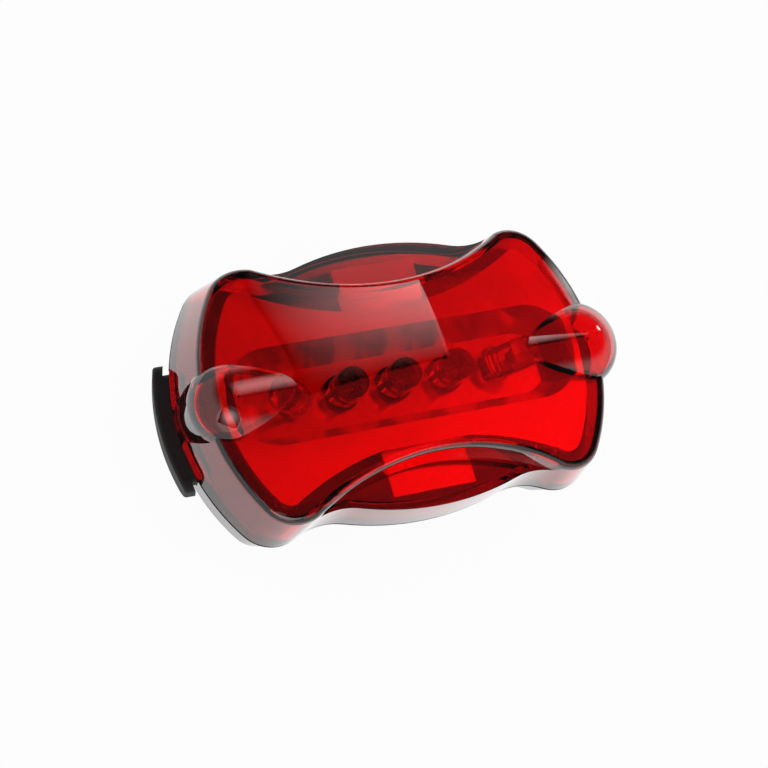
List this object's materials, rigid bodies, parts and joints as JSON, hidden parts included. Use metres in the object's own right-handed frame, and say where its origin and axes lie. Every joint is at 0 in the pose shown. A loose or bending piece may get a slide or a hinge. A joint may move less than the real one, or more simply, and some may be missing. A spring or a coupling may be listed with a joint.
{
  "type": "bicycle rear light",
  "caption": "Battery rear light for a bicycle: clear red hourglass lens over a bright tray with LEDs, black back shell with rubber button and belt clip.",
  "frame": {"origin": "on the outer flat face of the belt clip's leaf, under the middle of the light", "axes": "+X along the light, from the button's end to the coin slot's end; +Y across it; +Z out of the lens"},
  "size_m": [0.0751, 0.0428, 0.0285],
  "materials": {
    "lens_red": "clear red, polished",
    "bright_tray": "mirror-bright metallised plastic",
    "led_clear": "water-clear epoxy",
    "lead_tin": "tinned steel",
    "board_green": "green solder mask",
    "chip_black": "matt epoxy",
    "resistor_black": "satin",
    "screw_steel": "zinc-plated",
    "switch_black": "moulded",
    "switch_steel": "bright stamped steel",
    "plunger_black": "moulded",
    "shell_black": "polished",
    "seal_rubber": "matt",
    "cell_jacket": "plain satin sleeve",
    "contact_nickel": "nickel-plated spring steel",
    "clip_black": "satin",
    "button_rubber": "matt"
  },
  "bodies": {
    "back_half": {"back_shell": "shell_black", "rim_seal": "seal_rubber", "battery_left": "cell_jacket", "battery_right": "cell_jacket", "plus_contact": "contact_nickel", "minus_contact": "contact_nickel", "bridge_contact": "contact_nickel", "belt_clip": "clip_black", "clip_screw": "screw_steel"},
    "light_unit": {"lens": "lens_red", "reflector_tray": "bright_tray", "circuit_board": "board_green", "led_1": "led_clear", "led_2": "led_clear", "led_3": "led_clear", "led_4": "led_clear", "led_5": "led_clear", "led_1_leads": "lead_tin", "led_2_leads": "lead_tin", "led_3_leads": "lead_tin", "led_4_leads": "lead_tin", "led_5_leads": "lead_tin", "control_chip": "chip_black", "resistors": "resistor_black", "board_screws": "screw_steel", "switch_body": "switch_black", "switch_cover": "switch_steel"},
    "plunger": {"switch_plunger": "plunger_black"},
    "button": {"switch_button": "button_rubber"}
  },
  "joints": [
    {"name": "button_press", "type": "slide", "parent": "back_half", "child": "button", "axis": [1, 0, 0], "range_m": [0, 0.0007], "stiffness_N_per_m": 1500, "springref_m": -0.0002},
    {"name": "cover_lift", "type": "slide", "parent": "back_half", "child": "light_unit", "axis": [0, 0, 1], "range_m": [0, 0.024]},
    {"name": "plunger_press", "type": "slide", "parent": "light_unit", "child": "plunger", "axis": [1, 0, 0], "range_m": [0, 0.00025]}
  ],
  "couplings": [
    {"joint": "plunger_press", "follows": "button_press", "ratio": 0.35}
  ]
}
